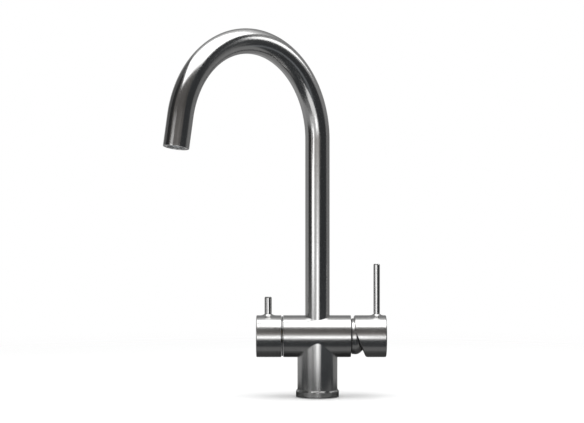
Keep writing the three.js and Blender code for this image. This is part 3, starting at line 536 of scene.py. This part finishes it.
knob_pin_x, knob_pin_r, knob_pin_top = -56.7, 4.15, 45.2
knob_hole_x, knob_hole_r, knob_hole_floor = -54, 2.3, 12.6
knob_inside = outline(
    (-60, 0, 0), (-60, 4.5, 0), (-49.6, 4.5, 0), (-49.6, 16, 0), (-46.6, 19.5, 0),
    (-41.6, 19.5, 0.2), (-41.6, barrel_r, 0.4), (-46, barrel_r, 0),
)
knob_outside = outline((-46, barrel_r, 0), (-70.2, barrel_r, 1.1), (-70.2, 0, 0))
knob_wall = cap_rows_along(-69.2, -46.5, -66, -46.6)[::-1]
knob_profile = np.concatenate([
    knob_inside, np.stack([knob_wall, np.full_like(knob_wall, barrel_r)], -1), knob_outside[1:],
])
knob_rows = with_collar_and_hole(
    round_barrel(knob_profile[:, :1], knob_profile[:, 1:], cap_turns(320)),
    knob_pin_x, knob_pin_r, knob_hole_x, knob_hole_r, knob_hole_floor,
)
knob = skin("filter_knob_cup", knob_rows, brushed=-knob_rows[..., 0] - knob_profile[:, 1:])
finished(knob, brushed_steel, "brushed_steel", "filter_knob", "filter_knob_cap")
knob_pin = pin("filter_knob_rod", knob_pin_x, knob_pin_r, knob_pin_top)
finished(knob_pin, polished_steel, "polished_steel", "filter_knob", "filter_knob_pin")

ceramic = moulded("ceramic", (0.8, 0.78, 0.73), 0.25, 0.1)
refinish(brass, "headwork_body", "headwork_spindle")
refinish(ceramic, "headwork_fixed_disc", "headwork_moving_disc")
refinish(seal_rubber, "headwork_seat_seal", "spindle_seal")
refinish(polished_steel, "filter_knob_grub_screw", "spindle_clip")


# ---------------------------------------------------------------- mixer side
# A pressed dome covers the nut of the plastic and ceramic mixer cartridge. The handle is a cup
# cut away on a slant, so that it can tilt outwards over the dome; its long pin is the lever, and
# a grub screw underneath holds it.
dome_x, dome_mouth_r = 43.5, 12


def dome_arc(depth, radius, turn):
    """A turned outline of the dome's skin: a quarter ellipse from its widest place to its mouth."""
    return np.stack([dome_x + depth * np.sin(turn), radius * np.cos(turn)], -1)


dome_skirt = outline((39.3, 17.3, 0), (39.3, 20.4, 0.4), (43.2, 20.8, 0))
dome_out = dome_arc(12.9, 20.8, np.linspace(0, math.acos(dome_mouth_r / 20.8), 20))
dome_in = dome_arc(11.7, 18.9, np.linspace(math.acos(dome_mouth_r / 18.9), 0.06, 16))
dome_profile = np.concatenate([dome_skirt, dome_out, dome_in, [[44, 17.3]]])
dome = skin("mixer_dome", round_barrel(dome_profile[:, :1], dome_profile[:, 1:], full_turn), ring=True)
finished(dome, brushed_steel, "brushed_steel", "base", "dome_cover")

handle_pin_x, handle_pin_r, handle_pin_top = 68.1, 3.7, 83.1
handle_hole_x, handle_hole_r, handle_hole_floor = 67, 2.8, 13.4
handle_inside = outline((62, 0, 0), (62, 19.8, 0.6), (60, 21.8, 0.6), (46, 21.8, 0))[:-1]
handle_lip = outline(
    (46, 21.8, 0), (42.05, 21.8, 0.3), (42.05, 22.9, 0.15), (43.15, barrel_r, 0.15),
    (46, barrel_r, 0),
)
handle_wall = cap_rows_along(46.2, 77.4, 57, 76)
handle_end = outline((77, barrel_r, 0), (78.85, barrel_r, 1.1), (78.85, 0, 0))
handle_profile = np.concatenate([
    handle_inside, handle_lip,
    np.stack([handle_wall, np.full_like(handle_wall, barrel_r)], -1), handle_end[1:],
])
handle_rows = round_barrel(handle_profile[:, :1], handle_profile[:, 1:], cap_turns(360))

# The slanted cut: below a height, the lip is drawn back along the axis by the cut's slope times
# the depth below that height. The move fades out in a straight line from x 46 to x 66 on the
# outer wall, and to x 60 on the inner one.
cut_height, cut_slope = 7.7, math.tan(math.radians(23.1))
fade_from, outer_fade, inner_fade = 46, 66, 60
fade_to = np.full((len(handle_profile), 1), float(outer_fade))
fade_to[:len(handle_inside)] = inner_fade
handle_x = handle_rows[..., 0]
drawn_back = np.maximum(0, cut_height - (handle_rows[..., 2] - barrel_z)) * cut_slope
handle_rows[..., 0] = handle_x + drawn_back * np.clip((fade_to - handle_x) / (fade_to - fade_from), 0, 1)
handle_rows = with_collar_and_hole(
    handle_rows, handle_pin_x, handle_pin_r, handle_hole_x, handle_hole_r, handle_hole_floor,
)
handle = skin("mixer_handle_cup", handle_rows, brushed=handle_rows[..., 0] - handle_profile[:, 1:])
finished(handle, brushed_steel, "brushed_steel", "mixer_lever", "handle_cap")
handle_pin = pin("mixer_lever_rod", handle_pin_x, handle_pin_r, handle_pin_top)
finished(handle_pin, polished_steel, "polished_steel", "mixer_lever", "handle_pin")

# The cartridge nut is near black: painted shade for the deep gap between the barrel's end and the dome.
painted_shade_brass = satin_metal("painted_shade_brass", steel_tones(0.05), 0.4, 0.3)
cartridge_plastic = moulded("cartridge_plastic", (0.74, 0.74, 0.72), 0.45, 0.2)
refinish(painted_shade_brass, "cartridge_nut")
refinish(brass, "lever_stem")
refinish(ceramic, "cartridge_fixed_disc", "cartridge_moving_disc")
refinish(seal_rubber, "cartridge_inlet_seal")
refinish(polished_steel, "handle_grub_screw", "lever_pivot_pin")
refinish(cartridge_plastic, "cartridge_base", "cartridge_housing", "disc_coupler", "spindle_carrier")


# ---------------------------------------------------------------- studio
# A white floor in a white room, with soft boxes overhead, on the left, in front and on the right.
# Grey and black cards stand and lie round the tap, out of the camera's sight. They give the steel
# the same dark and light zones to reflect as in the photograph.
bpy.context.scene.view_settings.view_transform = "Standard"
card_lift = 0.001
foot_card_lift = 0.002
wall_at = 1.5
roof_z = 1.16


def emission(name, radiance, tint=(1, 1, 1)):
    """A material that only shines, evenly, with the tint times the radiance."""
    material = bpy.data.materials.new(name)
    material.use_nodes = True
    nodes, links = material.node_tree.nodes, material.node_tree.links
    nodes.remove(nodes["Principled BSDF"])
    glow = nodes.new("ShaderNodeEmission")
    glow.inputs["Color"].default_value = (*tint, 1)
    glow.inputs["Strength"].default_value = radiance
    links.new(glow.outputs[0], nodes["Material Output"].inputs["Surface"])
    return material


def bent(azimuths, profile, lift=card_lift):
    """Rows of a sheet bent round the tap. The profile is a list of (distance, height), in metres,
    carried round from the first azimuth to the last. Azimuth 0 is towards the camera and 90 to the
    right."""
    turn = np.radians(np.linspace(*azimuths, 25))[None]
    out, up = np.array(profile, float).T[:, :, None]
    return np.stack([out * np.sin(turn), -out * np.cos(turn), up + lift + 0 * turn], -1)


def flat(x_range, y_range, height=foot_card_lift):
    """Rows of a level rectangle. At its usual height it lies on the floor, over the bent sheets."""
    x, y = np.meshgrid(x_range, y_range)
    return np.stack([x, y, np.full_like(x, height)], -1)


def sheet(name, rows, material):
    """A thin sheet of the studio, from rows of points in metres."""
    count, sides = rows.shape[:2]
    i, j = np.meshgrid(np.arange(count - 1), np.arange(sides - 1), indexing="ij")
    first = i * sides + j
    faces = np.stack([first, first + 1, first + sides + 1, first + sides], -1)
    mesh = bpy.data.meshes.new(name)
    mesh.from_pydata(rows.reshape(-1, 3).tolist(), [], faces.reshape(-1, 4).tolist())
    mesh.materials.append(material)
    made = bpy.data.objects.new(name, mesh)
    bpy.context.scene.collection.objects.link(made)
    return made


def card(name, rows, radiance, tint=(1, 1, 1)):
    """A sheet that only reflections show."""
    made = sheet(name, rows, emission(name, radiance, tint))
    made.visible_camera = False
    made.visible_diffuse = False
    made.visible_shadow = False
    made.visible_transmission = False


def standing(bottom, top):
    """The outline of a card that stands at the studio's wall. A tall one bends in under the roof."""
    if top <= 1:
        return [(wall_at, bottom), (wall_at, top)]
    return [(wall_at, bottom), (wall_at, 1), (1.2, 1.25), (0.5, 1.3)]


def lying(near, far):
    """The outline of a card that lies on the floor between two distances from the tap."""
    return [(near, 0), (far, 0)]


cool, warm = (0.9, 0.95, 1), (1, 0.94, 0.9)

# Round the foot.
card("foot_card_front", flat((-0.14, 0.14), (-0.06, -0.022)), 0.17)
card("foot_card_middle", flat((-0.14, 0.14), (-0.022, -0.006)), 0.08)
card("foot_card_rear", flat((-0.042, 0.042), (-0.006, 0.09)), 0.025)
card("foot_card_rear_left", flat((-0.14, -0.042), (-0.006, 0.09)), 0.06)
card("foot_card_rear_right", flat((0.042, 0.14), (-0.006, 0.09)), 0.06)
card("mat_card", bent((-101, 98), lying(0, 0.35)), 0.05, cool)

# On the right and the left, floor and wall.
card("floor_card_right", bent((17, 98), lying(0.35, 0.5)), 0.05, cool)
card("floor_card_right_middle", bent((17, 98), lying(0.5, 0.75)), 0.2, cool)
card("floor_card_right_far", bent((17, 98), lying(0.75, wall_at) + standing(0, 0.35)), 0.045, cool)
card("wall_card_right", bent((29, 90), standing(0.35, 1.3)), 0.045, cool)
card("floor_card_left", bent((-57, -20), lying(0.35, 0.7)), 0.22)
card("floor_card_left_far", bent((-57, -10), lying(0.7, wall_at) + standing(0, 0.42)), 0.68)
card("floor_card_side", bent((-101, -57), lying(0.35, 0.45)), 0.1)
card("floor_card_side_far", bent((-101, -57), lying(0.45, wall_at)), 0.33)
card("wall_card_left", bent((-94, -56), standing(0, 1.3)), 0.03)

# Behind the tap.
card("floor_card_rear_right", bent((98, 180), lying(0, wall_at)), 0.25)
card("floor_card_rear_left", bent((180, 259), lying(0, 0.4)), 0.28)
card("floor_card_rear_left_far", bent((180, 259), lying(0.4, wall_at)), 0.38)
card("wall_card_rear_left", bent((180, 266), standing(0, 0.5)), 0.33)
card("wall_card_rear_left_upper", bent((180, 230), standing(0.5, 1.3)), 0.28)
card("wall_card_rear_left_dark", bent((230, 266), standing(0.5, 1.3)), 0.12)
card("wall_card_rear_right", bent((90, 180), standing(0, 0.45)), 0.22)
card("wall_card_rear_right_upper", bent((90, 180), standing(0.45, 1.3)), 0.28)

# Overhead, and behind the camera.
card("roof_card_near", flat((-0.67, 0.67), (0.19, 0.32), roof_z), 1.1)
card("roof_card_middle", flat((-0.67, 0.67), (0.32, 0.55), roof_z), 0.7)
card("roof_card_far", flat((-0.67, 0.67), (0.55, 0.9), roof_z), 0.4)
card("wall_card_front_low", bent((-62, 10), standing(0.26, 0.45)), 0.45, warm)
card("wall_card_front_middle", bent((-62, 10), standing(0.45, 0.7)), 0.2, warm)
card("wall_card_front_upper", bent((-62, 10), standing(0.7, 1.3)), 0.12, warm)
card("wall_card_front_right_low", bent((10, 29), standing(0.26, 0.45)), 0.26, warm)
card("wall_card_front_right_middle", bent((10, 29), standing(0.45, 0.7)), 0.13, warm)
card("wall_card_front_right_upper", bent((10, 29), standing(0.7, 1.3)), 0.09, warm)

# The floor is matt white paper. It keeps the tap's shadow, fades to nothing between two distances
# from the tap, and can't be seen from below.
fade_near, fade_far = 0.35, 1.1
camera_lift = 0.12
white = bpy.data.materials.new("white_floor")
white.use_nodes = True
floor_nodes, floor_links = white.node_tree.nodes, white.node_tree.links
paper = floor_nodes["Principled BSDF"]
paper.inputs["Base Color"].default_value = (0.8, 0.8, 0.8, 1)
paper.inputs["Roughness"].default_value = 0.9
paper.inputs["Specular IOR Level"].default_value = 0
floor_rays = floor_nodes.new("ShaderNodeLightPath")
lift = floor_nodes.new("ShaderNodeMapRange")
lift.inputs["To Min"].default_value = 0
lift.inputs["To Max"].default_value = camera_lift
floor_links.new(floor_rays.outputs["Is Camera Ray"], lift.inputs["Value"])
paper.inputs["Emission Color"].default_value = (1, 1, 1, 1)
floor_links.new(lift.outputs[0], paper.inputs["Emission Strength"])
floor_place = floor_nodes.new("ShaderNodeTexCoord")
distance = floor_nodes.new("ShaderNodeVectorMath")
distance.operation = "LENGTH"
floor_links.new(floor_place.outputs["Object"], distance.inputs[0])
fade = floor_nodes.new("ShaderNodeMapRange")
fade.interpolation_type = "SMOOTHSTEP"
fade.inputs["From Min"].default_value = fade_near
fade.inputs["From Max"].default_value = fade_far
floor_links.new(distance.outputs["Value"], fade.inputs["Value"])
clear = floor_nodes.new("ShaderNodeBsdfTransparent")
underside = floor_nodes.new("ShaderNodeNewGeometry")
hidden = floor_nodes.new("ShaderNodeMath")
hidden.operation = "MAXIMUM"
floor_links.new(fade.outputs[0], hidden.inputs[0])
floor_links.new(underside.outputs["Backfacing"], hidden.inputs[1])
blend = floor_nodes.new("ShaderNodeMixShader")
floor_links.new(hidden.outputs[0], blend.inputs["Fac"])
floor_links.new(paper.outputs[0], blend.inputs[1])
floor_links.new(clear.outputs[0], blend.inputs[2])
floor_links.new(blend.outputs[0], floor_nodes["Material Output"].inputs["Surface"])
sheet("floor", bent((360, 0), [(0, 0), (0.4, 0), (0.8, 0), (1.2, 0)], lift=0), white)

# The room is white to the camera, in reflections and through glass, and a little darker as light.
room_light, room_white = 0.85, 1.0
world = bpy.data.worlds.new("room")
bpy.context.scene.world = world
world.use_nodes = True
room_nodes, room_links = world.node_tree.nodes, world.node_tree.links
room = room_nodes["Background"]
rays = room_nodes.new("ShaderNodeLightPath")
seen = room_nodes.new("ShaderNodeMath")
seen.operation = "MAXIMUM"
room_links.new(rays.outputs["Is Camera Ray"], seen.inputs[0])
room_links.new(rays.outputs["Is Glossy Ray"], seen.inputs[1])
seen_all = room_nodes.new("ShaderNodeMath")
seen_all.operation = "MAXIMUM"
room_links.new(seen.outputs[0], seen_all.inputs[0])
room_links.new(rays.outputs["Is Transmission Ray"], seen_all.inputs[1])
level = room_nodes.new("ShaderNodeMapRange")
level.inputs["To Min"].default_value = room_light
level.inputs["To Max"].default_value = room_white
room_links.new(seen_all.outputs[0], level.inputs["Value"])
room_links.new(level.outputs[0], room.inputs["Strength"])
room.inputs["Color"].default_value = (1, 1, 1, 1)


def soft_box(name, at, towards, size, radiance):
    """A rectangular soft box, turned to face a point and unseen by the camera. Its power is its
    radiance times pi times its area."""
    light = bpy.data.lights.new(name, "AREA")
    light.shape = "RECTANGLE"
    light.size, light.size_y = size
    light.energy = radiance * math.pi * size[0] * size[1]
    box = bpy.data.objects.new(name, light)
    bpy.context.scene.collection.objects.link(box)
    box.location = at
    facing = np.array(towards, float) - np.array(at, float)
    box.rotation_euler = (
        math.atan2(math.hypot(facing[0], facing[1]), -facing[2]),
        0,
        math.atan2(-facing[0], facing[1]) if facing[0] or facing[1] else 0,
    )
    box.visible_camera = False


soft_box("overhead_box", (0, -0.285, 1.15), (0, -0.285, 0), (1.34, 0.95), 2.1)
soft_box("left_box", (-0.72, -0.82, 0.325), (0, 0, 0.3), (0.36, 0.47), 1.6)
soft_box("front_box", (0, -1.45, 0.01), (0, 0, 0.1), (0.36, 0.26), 1.6)
soft_box("right_box", (1.12, 0.17, 0.86), (0, 0, 0.4), (0.6, 0.33), 1.9)
